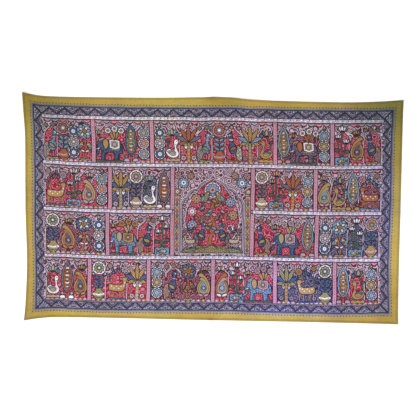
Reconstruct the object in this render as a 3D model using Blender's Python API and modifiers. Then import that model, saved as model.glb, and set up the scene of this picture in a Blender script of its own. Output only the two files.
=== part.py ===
"""A kalamkari panel: one piece of hand-painted cotton, hemmed all round and laid out face up.

The cloth is one solid. Its outline keeps the pulled corners and the swags between them, and its
thickness lies over the storage crease, the low billows and the lifted corners. The painting is
colour alone, so it isn't raised. Sizes are in metres, +Z is up, and the cloth's top edge is at +Y.
"""

import math

import bmesh
import bpy

# The cut cloth and its hem
CUT_WIDTH = 1.524
CUT_HEIGHT = 0.914
CLOTH_THICKNESS = 0.0015
HEM_THICKNESS = 0.0024
HEM_WIDTH = 0.008
HEM_STEP = 0.0015  # the slope from the hem's fold down to the single cloth

# Where the four corners lie, from the middle of the laid cloth
TOP_LEFT = (-0.7757, 0.4722)
TOP_RIGHT = (0.7757, 0.4401)
BOTTOM_LEFT = (-0.7684, -0.4563)
BOTTOM_RIGHT = (0.7530, -0.4722)

# How far each edge runs inside the straight line between its corners.
# Columns: share of the way along the edge, distance inwards
TOP_SWAGS = (
    (0.00, 0.0000),
    (0.035, 0.0101),
    (0.08, 0.0142),
    (0.20, 0.0142),
    (0.34, 0.0118),
    (0.47, 0.0049),
    (0.51, 0.0028),
    (0.55, 0.0040),
    (0.60, 0.0106),
    (0.75, 0.0142),
    (0.86, 0.0134),
    (0.94, 0.0073),
    (1.00, 0.0000),
)
BOTTOM_SWAGS = (
    (0.00, 0.0000),
    (0.04, 0.0091),
    (0.08, 0.0138),
    (0.20, 0.0138),
    (0.34, 0.0114),
    (0.50, 0.0085),
    (0.74, 0.0053),
    (1.00, 0.0000),
)
LEFT_SWAGS = (
    (0.00, 0.0000),
    (0.08, 0.0032),
    (0.19, 0.0093),
    (0.40, 0.0089),
    (0.54, 0.0093),
    (0.75, 0.0134),
    (0.92, 0.0061),
    (1.00, 0.0000),
)
RIGHT_SWAGS = (
    (0.00, 0.0000),
    (0.50, 0.0008),
    (0.76, 0.0016),
    (1.00, 0.0000),
)

# The creases left by folding the cloth away.
# Columns: axis it crosses, place on that axis, height of the ridge, half its width
CREASES = (
    ("x", 0.004, 0.0045, 0.055),
    ("y", -0.006, 0.0018, 0.045),
)

# Low billows where the cloth doesn't lie quite down.
# Columns: middle across, middle up, reach across, reach up, height
BILLOWS = (
    (0.130, 0.430, 0.110, 0.130, 0.0055),
    (-0.330, 0.400, 0.230, 0.110, 0.0035),
    (0.500, 0.390, 0.200, 0.110, 0.0030),
    (-0.640, 0.130, 0.110, 0.190, 0.0030),
    (-0.560, -0.360, 0.200, 0.100, 0.0040),
    (-0.110, -0.400, 0.130, 0.090, 0.0030),
    (0.240, -0.400, 0.200, 0.080, 0.0030),
    (0.660, -0.080, 0.090, 0.240, 0.0025),
    (-0.250, 0.090, 0.170, 0.120, 0.0020),
    (0.330, 0.130, 0.180, 0.110, 0.0020),
)

# How far the corners turn up, and from how far in
# Columns: corner's side across, corner's side up, height, reach
CORNER_LIFTS = (
    (-1, 1, 0.0090, 0.090),
    (1, 1, 0.0060, 0.080),
    (-1, -1, 0.0080, 0.085),
    (1, -1, 0.0045, 0.070),
)

# The spacing of the solid's points
COARSE_STEP = 0.046
CREASE_OFFSETS = (0.0, 0.012, 0.030)

MUSTARD = (0.560, 0.400, 0.130, 1.0)
FABRIC_ROUGHNESS = 0.9


def clear_scene():
    """Removes whatever the file was opened with."""
    for thing in list(bpy.data.objects):
        bpy.data.objects.remove(thing, do_unlink=True)


def smooth_value(rows, share):
    """The second column of a table at this share, on a smooth curve through its rows."""
    last = len(rows) - 1
    slopes = []
    for i in range(len(rows)):
        low, high = rows[max(i - 1, 0)], rows[min(i + 1, last)]
        slopes.append((high[1] - low[1]) / (high[0] - low[0]))
    i = max(k for k in range(last) if rows[k][0] <= share or k == 0)
    (start, a), (end, b) = rows[i], rows[i + 1]
    span = end - start
    t = min(max((share - start) / span, 0.0), 1.0)
    rise = a * (2 * t**3 - 3 * t**2 + 1) + b * (3 * t**2 - 2 * t**3)
    lean = slopes[i] * (t**3 - 2 * t**2 + t) + slopes[i + 1] * (t**3 - t**2)
    return rise + lean * span


def edge_point(start, end, swags, inward, share):
    """A point on a laid edge: on the line between its corners, moved inwards by the swags."""
    bow = smooth_value(swags, share)
    return tuple(a + (b - a) * share + n * bow for a, b, n in zip(start, end, inward))


def laid_point(across, down):
    """Where a point of the cut cloth lies, from its shares of the way across and down."""
    top = edge_point(TOP_LEFT, TOP_RIGHT, TOP_SWAGS, (0, -1), across)
    bottom = edge_point(BOTTOM_LEFT, BOTTOM_RIGHT, BOTTOM_SWAGS, (0, 1), across)
    left = edge_point(TOP_LEFT, BOTTOM_LEFT, LEFT_SWAGS, (1, 0), down)
    right = edge_point(TOP_RIGHT, BOTTOM_RIGHT, RIGHT_SWAGS, (-1, 0), down)
    place = []
    for i in range(2):
        between_edges = (1 - down) * top[i] + down * bottom[i]
        between_sides = (1 - across) * left[i] + across * right[i]
        upper = (1 - across) * TOP_LEFT[i] + across * TOP_RIGHT[i]
        lower = (1 - across) * BOTTOM_LEFT[i] + across * BOTTOM_RIGHT[i]
        place.append(between_edges + between_sides - (1 - down) * upper - down * lower)
    return place


def lift(x, y):
    """How high the underside lies at a point of the cut cloth, measured from its middle."""
    height = 0.0
    for axis, place, rise, half_width in CREASES:
        away = abs((x if axis == "x" else y) - place) / half_width
        height += rise * max(0.0, 1 - away) ** 2
    for middle_x, middle_y, reach_x, reach_y, rise in BILLOWS:
        away = ((x - middle_x) / reach_x) ** 2 + ((y - middle_y) / reach_y) ** 2
        height += rise * max(0.0, 1 - away) ** 2
    for side_x, side_y, rise, reach in CORNER_LIFTS:
        away = math.hypot(x - side_x * CUT_WIDTH / 2, y - side_y * CUT_HEIGHT / 2) / reach
        height += rise * max(0.0, 1 - away) ** 2
    return height


def stations(length, crease):
    """Places from one cut edge to the other: the hem's lines, even steps, and more at the crease."""
    half = length / 2
    fold, foot = half - HEM_WIDTH, half - HEM_WIDTH - HEM_STEP
    steps = round(2 * foot / COARSE_STEP)
    even = [-foot + 2 * foot * i / steps for i in range(1, steps)]
    near_crease = [crease + side * offset for offset in CREASE_OFFSETS for side in (-1, 1)]
    clear = max(CREASE_OFFSETS) + COARSE_STEP / 3
    kept = [place for place in even if abs(place - crease) > clear]
    return sorted({-half, -fold, -foot, foot, fold, half, *near_crease, *kept})


def build_surface():
    """The underside of the laid cloth as an open grid, and each point's thickness."""
    columns = stations(CUT_WIDTH, CREASES[0][1])
    rows = stations(CUT_HEIGHT, CREASES[1][1])
    grid = bmesh.new()
    bmesh.ops.create_grid(grid, x_segments=len(columns) - 1, y_segments=len(rows) - 1, size=0.5)
    thickness = []
    for point in grid.verts:
        x = columns[round((point.co.x + 0.5) * (len(columns) - 1))]
        y = rows[round((point.co.y + 0.5) * (len(rows) - 1))]
        point.co = (*laid_point(0.5 + x / CUT_WIDTH, 0.5 - y / CUT_HEIGHT), lift(x, y))
        edge_distance = min(CUT_WIDTH / 2 - abs(x), CUT_HEIGHT / 2 - abs(y))
        in_hem = edge_distance < HEM_WIDTH + HEM_STEP / 2
        thickness.append(HEM_THICKNESS if in_hem else CLOTH_THICKNESS)
    mesh = bpy.data.meshes.new("cloth")
    grid.to_mesh(mesh)
    grid.free()
    mesh.shade_smooth()
    return mesh, thickness


def cotton_material():
    """The mustard ground that the whole cloth is dyed with."""
    material = bpy.data.materials.new("painted_cotton")
    material.use_nodes = True
    shader = material.node_tree.nodes["Principled BSDF"]
    shader.inputs["Base Color"].default_value = MUSTARD
    shader.inputs["Roughness"].default_value = FABRIC_ROUGHNESS
    shader.inputs["Metallic"].default_value = 0.0
    return material


def build_cloth():
    """The cloth's grid, given its thickness upwards from the underside."""
    mesh, thickness = build_surface()
    cloth = bpy.data.objects.new("cloth", mesh)
    group = cloth.vertex_groups.new(name="thickness")
    for index, depth in enumerate(thickness):
        group.add([index], depth / HEM_THICKNESS, "REPLACE")
    shell = cloth.modifiers.new("thickness", "SOLIDIFY")
    shell.thickness = HEM_THICKNESS
    shell.offset = 1.0
    shell.vertex_group = group.name
    mesh.materials.append(cotton_material())
    return cloth


def main():
    clear_scene()
    panel = bpy.data.collections.new("kalamkari_panel")
    bpy.context.scene.collection.children.link(panel)
    panel.objects.link(build_cloth())


main()
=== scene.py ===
"""The looks of a kalamkari panel: one painted cotton sheet, its hem's stitches, a floor and light.

The sheet is one thin closed mesh. Its painted side is triangulated along the outlines of what is
painted on it, shape over shape, and each face takes its shape's dye. The painting is laid out in
millimetres on the flat cut cloth, from its middle, and then carried onto the laid cloth's outline
and creases. All else is in metres, +Z up, with the cloth's top edge at +Y.
"""

import math
import random

import bpy
import numpy as np
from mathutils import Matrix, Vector
from mathutils.geometry import delaunay_2d_cdt


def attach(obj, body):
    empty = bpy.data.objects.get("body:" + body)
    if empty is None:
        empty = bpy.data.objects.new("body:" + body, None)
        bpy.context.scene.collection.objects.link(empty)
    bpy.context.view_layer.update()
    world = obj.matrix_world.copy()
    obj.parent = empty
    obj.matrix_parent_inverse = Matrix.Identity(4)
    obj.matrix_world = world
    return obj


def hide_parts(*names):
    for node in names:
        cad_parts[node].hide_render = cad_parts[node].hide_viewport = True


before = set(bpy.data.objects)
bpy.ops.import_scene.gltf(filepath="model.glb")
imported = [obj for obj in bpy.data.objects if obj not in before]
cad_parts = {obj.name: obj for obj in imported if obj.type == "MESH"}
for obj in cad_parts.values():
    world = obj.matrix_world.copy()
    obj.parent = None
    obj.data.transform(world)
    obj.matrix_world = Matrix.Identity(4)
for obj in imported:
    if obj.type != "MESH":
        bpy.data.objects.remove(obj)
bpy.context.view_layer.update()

MM = 0.001
rng = random.Random(19)

# The cut cloth and its hem, in metres
CUT_WIDTH = 1.524
CUT_HEIGHT = 0.914
CLOTH_THICKNESS = 0.0007
HEM_THICKNESS = 0.0018
HEM_WIDTH = 0.008
HEM_STEP = 0.0015  # the slope from the hem's fold down to the single cloth
RIM_ROUNDING = 0.00035

# The flat cloth in the painting's millimetres: half its size, and how far in from its cut edge
# the rim's rounding ends and the hem's slope starts and ends
HALF_WIDTH = CUT_WIDTH / MM / 2
HALF_HEIGHT = CUT_HEIGHT / MM / 2
EDGE_LINES = (RIM_ROUNDING / MM, HEM_WIDTH / MM, (HEM_WIDTH + HEM_STEP) / MM)

# Where the four corners lie, from the middle of the laid cloth
TOP_LEFT = (-0.7757, 0.4722)
TOP_RIGHT = (0.7757, 0.4401)
BOTTOM_LEFT = (-0.7684, -0.4563)
BOTTOM_RIGHT = (0.7530, -0.4722)

# How far each edge runs inside the straight line between its corners.
# Columns: share of the way along the edge, distance inwards
TOP_SWAGS = (
    (0.00, 0.0000),
    (0.035, 0.0101),
    (0.08, 0.0142),
    (0.20, 0.0142),
    (0.34, 0.0118),
    (0.47, 0.0049),
    (0.51, 0.0028),
    (0.55, 0.0040),
    (0.60, 0.0106),
    (0.75, 0.0142),
    (0.86, 0.0134),
    (0.94, 0.0073),
    (1.00, 0.0000),
)
BOTTOM_SWAGS = (
    (0.00, 0.0000),
    (0.04, 0.0091),
    (0.08, 0.0138),
    (0.20, 0.0138),
    (0.34, 0.0114),
    (0.50, 0.0085),
    (0.74, 0.0053),
    (1.00, 0.0000),
)
LEFT_SWAGS = (
    (0.00, 0.0000),
    (0.08, 0.0032),
    (0.19, 0.0093),
    (0.40, 0.0089),
    (0.54, 0.0093),
    (0.75, 0.0134),
    (0.92, 0.0061),
    (1.00, 0.0000),
)
RIGHT_SWAGS = (
    (0.00, 0.0000),
    (0.50, 0.0008),
    (0.76, 0.0016),
    (1.00, 0.0000),
)

# The creases left by folding the cloth away.
# Columns: axis it crosses, place on that axis, height of the ridge, half its width
CREASES = (
    ("x", 0.004, 0.0045, 0.055),
    ("y", -0.006, 0.0018, 0.045),
)
CREASE_ROUNDING = 0.005  # how far to each side their tops are rounded

# Low billows where the cloth doesn't lie quite down.
# Columns: middle across, middle up, reach across, reach up, height
BILLOWS = (
    (0.130, 0.430, 0.110, 0.130, 0.0055),
    (-0.330, 0.400, 0.230, 0.110, 0.0035),
    (0.500, 0.390, 0.200, 0.110, 0.0030),
    (-0.640, 0.130, 0.110, 0.190, 0.0030),
    (-0.560, -0.360, 0.200, 0.100, 0.0040),
    (-0.110, -0.400, 0.130, 0.090, 0.0030),
    (0.240, -0.400, 0.200, 0.080, 0.0030),
    (0.660, -0.080, 0.090, 0.240, 0.0025),
    (-0.250, 0.090, 0.170, 0.120, 0.0020),
    (0.330, 0.130, 0.180, 0.110, 0.0020),
)

# How far the corners turn up, and from how far in.
# Columns: corner's side across, corner's side up, height, reach
CORNER_LIFTS = (
    (-1, 1, 0.0090, 0.090),
    (1, 1, 0.0060, 0.080),
    (-1, -1, 0.0080, 0.085),
    (1, -1, 0.0045, 0.070),
)

# Small soft wrinkles that only the looks have.
# Columns: middle across, middle up, direction in degrees, half its length, half its width, height
WRINKLES = (
    (0.060, 0.395, 78, 0.070, 0.012, 0.0016),
    (0.105, 0.402, 96, 0.060, 0.010, 0.0012),
    (0.165, 0.408, 104, 0.052, 0.012, 0.0014),
    (-0.060, 0.400, 84, 0.060, 0.012, 0.0011),
    (-0.430, 0.418, 97, 0.045, 0.011, 0.0010),
    (-0.260, 0.416, 86, 0.042, 0.010, 0.0009),
    (0.420, 0.418, 92, 0.042, 0.011, 0.0009),
    (0.590, 0.410, 84, 0.050, 0.012, 0.0010),
    (-0.705, 0.405, 132, 0.070, 0.013, 0.0014),
    (0.705, 0.400, 46, 0.070, 0.013, 0.0012),
    (-0.700, -0.400, 48, 0.070, 0.013, 0.0013),
    (0.700, -0.405, 134, 0.060, 0.012, 0.0010),
    (-0.728, 0.190, 4, 0.038, 0.011, 0.0010),
    (-0.726, -0.040, 176, 0.040, 0.012, 0.0010),
    (-0.728, -0.230, 6, 0.038, 0.010, 0.0009),
    (0.728, 0.120, 178, 0.036, 0.011, 0.0008),
    (0.726, -0.200, 3, 0.040, 0.012, 0.0009),
    (-0.350, -0.420, 88, 0.040, 0.011, 0.0010),
    (-0.020, -0.415, 94, 0.048, 0.012, 0.0012),
    (0.330, -0.420, 85, 0.040, 0.011, 0.0009),
    (0.020, 0.180, 83, 0.150, 0.010, 0.0009),
    (-0.010, -0.200, 97, 0.160, 0.010, 0.0009),
    (-0.330, 0.010, 176, 0.150, 0.010, 0.0007),
    (0.300, -0.018, 3, 0.160, 0.010, 0.0007),
)

# The dyes as they look in daylight, from 0 to 255
DYES = {
    "ink": (34, 26, 44),
    "halo": (220, 206, 222),
    "mustard": (190, 160, 79),
    # the hem's colour: darker than the mustard, partly as painted shade along the edge
    "hem": (168, 142, 68),
    "sand": (166, 150, 112),
    "crimson": (180, 28, 58),
    "maroon": (120, 30, 52),
    "rose": (190, 84, 108),
    "mauve": (166, 124, 140),
    "pink": (202, 148, 168),
    "lavender": (190, 168, 192),
    "lilac": (210, 196, 218),
    "white": (238, 232, 242),
    "sky": (126, 160, 188),
    "blue": (82, 104, 142),
    "indigo": (58, 58, 92),
    "violet": (52, 46, 74),
    "slate": (124, 112, 134),
    "dusk": (118, 117, 138),
    "ochre": (182, 144, 92),
    "orange": (172, 104, 68),
    "tan": (180, 156, 130),
    "olive": (160, 150, 106),
    "green": (86, 104, 92),
}

# Penwork over a dye: dark hatching, pale dots, a dark net, and rings of dark and pale lines
PENWORK = {
    "bare": (0.0, 0.0, 0.0, 0.0),
    "plain": (0.35, 0.0, 0.0, 0.0),
    "hatch": (1.0, 0.0, 0.0, 0.0),
    "dots": (0.0, 1.0, 0.0, 0.0),
    "net": (0.0, 0.0, 1.0, 0.0),
    "rings": (0.0, 0.0, 0.0, 1.0),
    "faint rings": (0.0, 0.0, 0.0, 0.5),
    "sprigs": (0.0, 0.8, 0.0, 0.5),
}

# Uneven dye, and painted shade: the corners darker as where the light falls off, and a dark line along the
# crease at the top and bottom margins, all as a share of its brightness.
# Columns: middle across, middle up, reach, red, green, blue
DYE_AND_SHADE_PATCHES = (
    # the first two rows and the two at the crease are painted shade; the rest are uneven dye
    (-762, 457, 190, 0.78, 0.78, 0.68),
    (762, 457, 250, 0.66, 0.75, 0.74),
    (30, 457, 70, 0.92, 0.91, 0.88),
    (-3, 457, 15, 0.84, 0.83, 0.80),
    (-3, -457, 14, 0.86, 0.82, 0.76),
    (-230, 457, 170, 1.03, 1.06, 0.98),
    (762, -457, 170, 0.93, 0.93, 0.92),
    (-762, -457, 160, 0.96, 0.96, 1.00),
    (-762, 300, 120, 1.06, 1.10, 1.12),
    (762, 60, 170, 0.98, 1.01, 1.13),
    (762, -200, 190, 1.09, 1.10, 1.17),
    (300, -457, 240, 1.08, 1.11, 1.32),
    (-300, -457, 240, 1.05, 1.07, 1.12),
)

# How far inside the cut edge the row of ticks runs, in millimetres
TICK_MARGINS = {"left": 27.0, "right": 32.0, "top": 29.0, "bottom": 27.5}
TICK_PITCH = 12.6

# How far inside the row of ticks the lines and the zigzag band of the painting's frame run
SAND_LINE = -2.0
PALE_LINE = 6.0
DARK_LINE = (10.5, 14.5)
BAND_OUTER = 17.5
BAND_WIDTH = 27.0
BAND_INNER = BAND_OUTER + BAND_WIDTH
ZIGZAG_PITCH = 63.0
ZIGZAG_STROKE = 6.5

# Where the painting strays from its plan: at the pulled corners, the sides and the crease.
# Columns: middle across, middle up, moved across, moved up, reach across, reach up
STRAYS = (
    (-762, 457, 4.5, -9.0, 150, 150),
    (762, 457, 5.0, -5.0, 150, 150),
    (-762, -457, 4.0, -5.3, 150, 150),
    (762, -457, 3.0, 4.5, 150, 150),
    (-762, 0, 0.0, 9.0, 160, 2000),
    (762, 80, 0.0, -6.0, 150, 200),
    (470, 457, 0.0, 5.5, 260, 100),
    (-520, -457, 0.0, -4.0, 200, 80),
    (4, 300, 0.0, -9.5, 150, 360),
)

# The pen's lines, and the pale line round the main shapes
PEN = 3.0
FINE_PEN = 1.7
HALO = 2.1

# The rows, parted by pale strips, from the middle of the cut cloth
STRIP_HEIGHT = 14.5
FLECK_WIDTHS = (4, 11)
FLECK_GAPS = (6, 16)
VINE_WAVE = 26.0
VINE_DEPTH = 2.6
STRIP_MIDDLES = (374.0, 182.5, -8.5, -201.0)
ROW_TILT = 0.010
DIVIDER_WIDTH = 17.0
LOZENGE_PITCH = 13.0
LOZENGE = (2.6, 4.2)  # half its width and half its height

# The motifs' own height, how far they stand above the row's foot, and what stays clear over them
MOTIF_HEIGHT = 162.0
MOTIF_FOOT = 8
MOTIF_CLEARANCE = 10

BLEED_SIZE = 60.0  # what is narrower than this doesn't show through on the underside
BLEED = 0.38  # how much of the paint's colour shows through there
LONGEST_SIDE = 18.0  # longer straight sides are divided, so that they follow the laid cloth

# How close the mesh's own points are, in millimetres: along the rim, over the painted side, over
# the underside, along the wrinkles and beside the creases
RIM_STEP = 9.0
GRID_STEP = 13.0
UNDERSIDE_STEP = 24.0
WRINKLE_STEP = 14.0
CREASE_OFFSETS = (0.0, 4.0, 14.0)
FREE_SHARE = 0.7  # a point is left out where an outline has one within this share of a step
HEM_CLEARANCE = 4
MEET_WITHIN = 0.35
UNDERSIDE_WRINKLES = 0.7

# The map's two blocks, the painted side's first, and the rim's band round each
UV_WIDTHS = (0.98, 0.63)
UV_BOTTOMS = (0.402, 0.01)
UV_EDGE = 0.01
UV_BAND = 0.004

# The hem's stitches, in millimetres
STITCH_INSET = 6.3
STITCH_PITCH = 8.5
STITCH_LENGTH = 4.6
STITCH_WIDTH = 1.0
STITCH_RISE = 0.3

# The materials
RING_LINES = 2 * math.pi / 0.24
RING_WAVER = 0.35
STREAKS = (7.0, 110.0, 1.0)
BROWNER = (1.04, 0.93, 0.83, 1.0)
GREENER = (0.97, 1.07, 1.15, 1.0)
WARP_PITCH = 0.0011
WEFT_PITCH = 0.0013
STRAND_SCALE = 900.0

# The studio: the camera stands where the photo's does, by the cloth's middle in the photo's pixels
FLOOR_SIZE = 40.0
FLOOR_DROP = 0.0004
CAMERA_LENS = 85.0
SENSOR = 36.0
PICTURE_PIXELS = 420
PIXEL_SIZE = 0.004072
PHOTO_MIDDLE = (212.9, 208.25)


def smooth_value(rows, share):
    """The second column of a table at these shares, on a smooth curve through its rows."""
    places, values = np.array(rows).T
    last = len(places) - 1
    low = np.maximum(np.arange(last + 1) - 1, 0)
    high = np.minimum(np.arange(last + 1) + 1, last)
    slopes = (values[high] - values[low]) / (places[high] - places[low])
    i = np.clip(np.searchsorted(places, share, side="right") - 1, 0, last - 1)
    span = places[i + 1] - places[i]
    t = np.clip((share - places[i]) / span, 0.0, 1.0)
    rise = values[i] * (2 * t**3 - 3 * t**2 + 1) + values[i + 1] * (3 * t**2 - 2 * t**3)
    lean = slopes[i] * (t**3 - 2 * t**2 + t) + slopes[i + 1] * (t**3 - t**2)
    return rise + lean * span


def laid_places(x, y):
    """Where points of the cut cloth lie, seen from above, by the four laid edges."""
    across, down = 0.5 + x / CUT_WIDTH, 0.5 - y / CUT_HEIGHT
    top, bottom = smooth_value(TOP_SWAGS, across), smooth_value(BOTTOM_SWAGS, across)
    left, right = smooth_value(LEFT_SWAGS, down), smooth_value(RIGHT_SWAGS, down)
    bows = (
        (1 - across) * left - across * right,
        down * bottom - (1 - down) * top,
    )
    places = []
    for i in range(2):
        upper = (1 - across) * TOP_LEFT[i] + across * TOP_RIGHT[i]
        lower = (1 - across) * BOTTOM_LEFT[i] + across * BOTTOM_RIGHT[i]
        places.append((1 - down) * upper + down * lower + bows[i])
    return np.column_stack(places)


def lift(x, y, wrinkled=1.0):
    """How high the cloth lies at these points of the cut cloth, with this share of its wrinkles."""
    height = np.zeros_like(x)
    for axis, place, rise, half_width in CREASES:
        away = np.hypot((x if axis == "x" else y) - place, CREASE_ROUNDING) / half_width
        height += rise * np.maximum(0.0, 1 - away) ** 2
    for middle_x, middle_y, reach_x, reach_y, rise in BILLOWS:
        away = ((x - middle_x) / reach_x) ** 2 + ((y - middle_y) / reach_y) ** 2
        height += rise * np.maximum(0.0, 1 - away) ** 2
    for side_x, side_y, rise, reach in CORNER_LIFTS:
        away = np.hypot(x - side_x * CUT_WIDTH / 2, y - side_y * CUT_HEIGHT / 2) / reach
        height += rise * np.maximum(0.0, 1 - away) ** 2
    for middle_x, middle_y, direction, half_length, half_width, rise in WRINKLES:
        cos, sin = math.cos(math.radians(direction)), math.sin(math.radians(direction))
        along = ((x - middle_x) * cos + (y - middle_y) * sin) / half_length
        away = ((y - middle_y) * cos - (x - middle_x) * sin) / half_width
        ridge = rise * np.maximum(0.0, 1 - along**2) * np.maximum(0.0, 1 - away**2) ** 2
        height += wrinkled * ridge
    return height


def thickness(x, y):
    """The cloth's thickness: doubled at the hem, with a short slope down to the single cloth."""
    edge_distance = np.minimum(CUT_WIDTH / 2 - np.abs(x), CUT_HEIGHT / 2 - np.abs(y))
    slope = np.clip((HEM_WIDTH + HEM_STEP - edge_distance) / HEM_STEP, 0.0, 1.0)
    return CLOTH_THICKNESS + (HEM_THICKNESS - CLOTH_THICKNESS) * slope


def smooth(points, closed=True, parts=2):
    """A curve through these points, with this many straight parts between neighbours."""
    here = np.array(points, float)
    if closed:
        before, after, beyond = (np.roll(here, by, axis=0) for by in (1, -1, -2))
    else:
        padded = np.vstack([here[0], here, here[-1], here[-1]])
        before, after, beyond = padded[:-3], padded[2:-1], padded[3:]
    curve = []
    for step in range(parts):
        t = step / parts
        curve.append(
            0.5
            * (
                2 * here
                + (after - before) * t
                + (2 * before - 5 * here + 4 * after - beyond) * t**2
                + (3 * here - before - 3 * after + beyond) * t**3
            )
        )
    joined = np.stack(curve, axis=1).reshape(-1, 2)
    return joined if closed else joined[: len(joined) - parts + 1]


def round_points(radius, steps=12, tall=1.0):
    """A circle, or an upright oval if tall isn't 1."""
    turns = np.arange(steps) * 2 * math.pi / steps
    return np.column_stack([radius * np.cos(turns), radius * tall * np.sin(turns)])


def scalloped(radius, petals, depth=0.2, steps=4):
    """A round outline of petals."""
    turns = np.arange(petals * steps) * 2 * math.pi / (petals * steps)
    reach = radius * (1 - depth + depth * np.abs(np.cos(turns * petals / 2)) ** 0.7)
    return np.column_stack([reach * np.sin(turns), reach * np.cos(turns)])


def mirrored(half):
    """An outline from its half, which starts or ends on the upright axis."""
    return half + [(-x, y) for x, y in reversed(half) if x]


def almond(length, width, fullest=0.45):
    """A pointed leaf or petal, from its foot at the origin to its tip up +Y."""
    outline = mirrored([(0.0, 0.0), (0.34, 0.14), (0.5, fullest), (0.36, 0.74), (0.0, 1.0)])
    return np.array([(x * width, y * length) for x, y in outline])


def mitred(before, after, least):
    """Which way a corner between two directions moves outwards, and how far for one step."""
    sides = []
    for way in (before, after):
        way = way / np.maximum(np.linalg.norm(way, axis=1, keepdims=True), 1e-9)
        sides.append(np.column_stack([way[:, 1], -way[:, 0]]))
    out = sides[0] + sides[1]
    out /= np.maximum(np.linalg.norm(out, axis=1, keepdims=True), 0.35)
    return out / np.clip(np.sum(out * sides[0], axis=1, keepdims=True), least, 1.0)


def ribbon(path, width, taper=1.0):
    """The outline of a stroke along a path, narrowed at its ends to a share of its width."""
    path = np.asarray(path, float)
    steps = np.diff(path, axis=0)
    aside = mitred(np.vstack([steps[:1], steps]), np.vstack([steps, steps[-1:]]), 0.6)
    shares = np.sin(np.linspace(0.0, math.pi, len(path)))
    half = (width / 2) * (taper + (1 - taper) * shares)[:, None]
    return np.vstack([path + aside * half, (path - aside * half)[::-1]])


def grown(loop, by):
    """The loop with its outline moved outwards by this much, or inwards if it is negative."""
    before, after = np.roll(loop, 1, axis=0), np.roll(loop, -1, axis=0)
    area = np.sum(loop[:, 0] * after[:, 1] - after[:, 0] * loop[:, 1])
    return loop + mitred(loop - before, after - loop, 0.6) * by * np.sign(area)


def split_sides(loop, counts):
    """The loop with each of its sides in this many parts."""
    parts = [
        start + (end - start) * np.arange(count)[:, None] / count
        for start, end, count in zip(loop, np.roll(loop, -1, axis=0), counts)
    ]
    return np.vstack(parts)


def divided(loop):
    """The loop with more points along its long sides, so that it follows the laid cloth."""
    lengths = np.linalg.norm(np.roll(loop, -1, axis=0) - loop, axis=1)
    return split_sides(loop, np.maximum(np.ceil(lengths / LONGEST_SIDE).astype(int), 1))


class Painting:
    """What is painted on the cloth, each shape over the ones before it."""

    def __init__(self):
        self.loops = []
        self.dyes = []
        self.pens = []
        self.large = []

    def add(self, loop, dye, pen="plain", spread=0.05):
        """One shape, its dye a little lighter or darker than its fellows'."""
        shade = 1.0 if dye == "ink" else 1 + rng.uniform(-spread, spread)
        self.loops.append(divided(loop))
        self.dyes.append(dye_colour(dye) * shade)
        self.pens.append(PENWORK[pen])
        self.large.append(bool(np.ptp(loop, axis=0).min() > BLEED_SIZE))


class Brush:
    """Draws on the painting from a place of its own, moved, turned, sized and perhaps flipped."""

    def __init__(self, painting, origin=(0.0, 0.0), across=(1.0, 0.0), up=(0.0, 1.0)):
        self.painting = painting
        self.origin, self.across, self.up = np.array(origin), np.array(across), np.array(up)

    def at(self, x=0.0, y=0.0, size=1.0, turn=0.0, flip=False):
        """A brush at this place of this one, turned anticlockwise by so many degrees."""
        cos, sin = math.cos(math.radians(turn)), math.sin(math.radians(turn))
        across = (cos * self.across + sin * self.up) * (-size if flip else size)
        up = (cos * self.up - sin * self.across) * size
        return Brush(self.painting, self.place([(x, y)])[0], across, up)

    def place(self, points):
        """Where the brush's points are on the flat cloth."""
        points = np.asarray(points, float)
        return self.origin + points[:, :1] * self.across + points[:, 1:] * self.up

    def fill(self, points, dye, pen="plain"):
        """A dyed shape with no line round it."""
        self.painting.add(self.place(points), dye, pen)

    def inked(self, points, dye, pen="plain", line=PEN):
        """A dyed shape inside a line of ink."""
        placed = self.place(points)
        self.painting.add(grown(placed, line / 2), "ink")
        self.painting.add(grown(placed, -line / 2), dye, pen)

    def fine(self, points, dye, pen="plain"):
        """A dyed shape inside a fine line of ink."""
        self.inked(points, dye, pen, FINE_PEN)

    def haloed(self, points, dye, pen="plain"):
        """A dyed shape inside a line of ink, with a pale line round that."""
        self.painting.add(grown(self.place(points), PEN / 2 + HALO), "halo")
        self.inked(points, dye, pen)

    def dot(self, x, y, radius, dye, steps=6):
        """A round dot of dye, with no line of ink."""
        self.fill(round_points(radius, steps) + (x, y), dye)

    def line(self, path, width, dye, taper=1.0):
        """A stroke of dye along a path."""
        self.fill(ribbon(path, width, taper), dye)


def dye_colour(name):
    """A dye as linear light."""
    shares = np.array(DYES[name]) / 255
    return np.where(shares > 0.04045, ((shares + 0.055) / 1.055) ** 2.4, shares / 12.92)


# Plants

def leaf(b, length, width, dye, pen="plain"):
    """A leaf with its midrib, from the brush's place up its +Y."""
    b.inked(almond(length, width), dye, pen)
    b.line([(0, length * 0.16), (0, length * 0.78)], 1.6, "ink", taper=0.3)


def stem(b, path, dye, width=3.0):
    """A stem or branch between two fine lines of ink."""
    b.line(path, width + 2 * FINE_PEN, "ink")
    b.line(path, width, dye)


def flower(b, radius, outer, inner, heart, petals=8):
    """A round flower seen from above."""
    b.inked(scalloped(radius, petals), outer)
    if radius > 14:
        for i in range(petals):
            petal = b.at(turn=(i + 0.5) * 360 / petals)
            petal.line([(0, radius * 0.5), (0, radius * 0.76)], FINE_PEN, "ink")
    b.fine(round_points(radius * 0.48, 10), inner)
    b.dot(0, 0, radius * 0.22, heart, 6)


def lotus(b, width, outer, inner, heart):
    """A lotus seen from the side, its middle petal in front."""
    length = width * 0.6
    for lean, dye in ((64, outer), (-64, outer), (38, inner), (-38, inner), (0, heart)):
        b.at(turn=lean).inked(almond(length, width * 0.3), dye)
    b.fill(smooth([(-width * 0.2, 1), (0, -3), (width * 0.2, 1), (0, 5)], parts=1), "ink")


def bud(b, length, dye, cup):
    """A closed bud in its cup."""
    b.inked(almond(length, length * 0.55, 0.5), dye)
    b.fine(almond(length * 0.5, length * 0.45, 0.3), cup)


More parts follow.
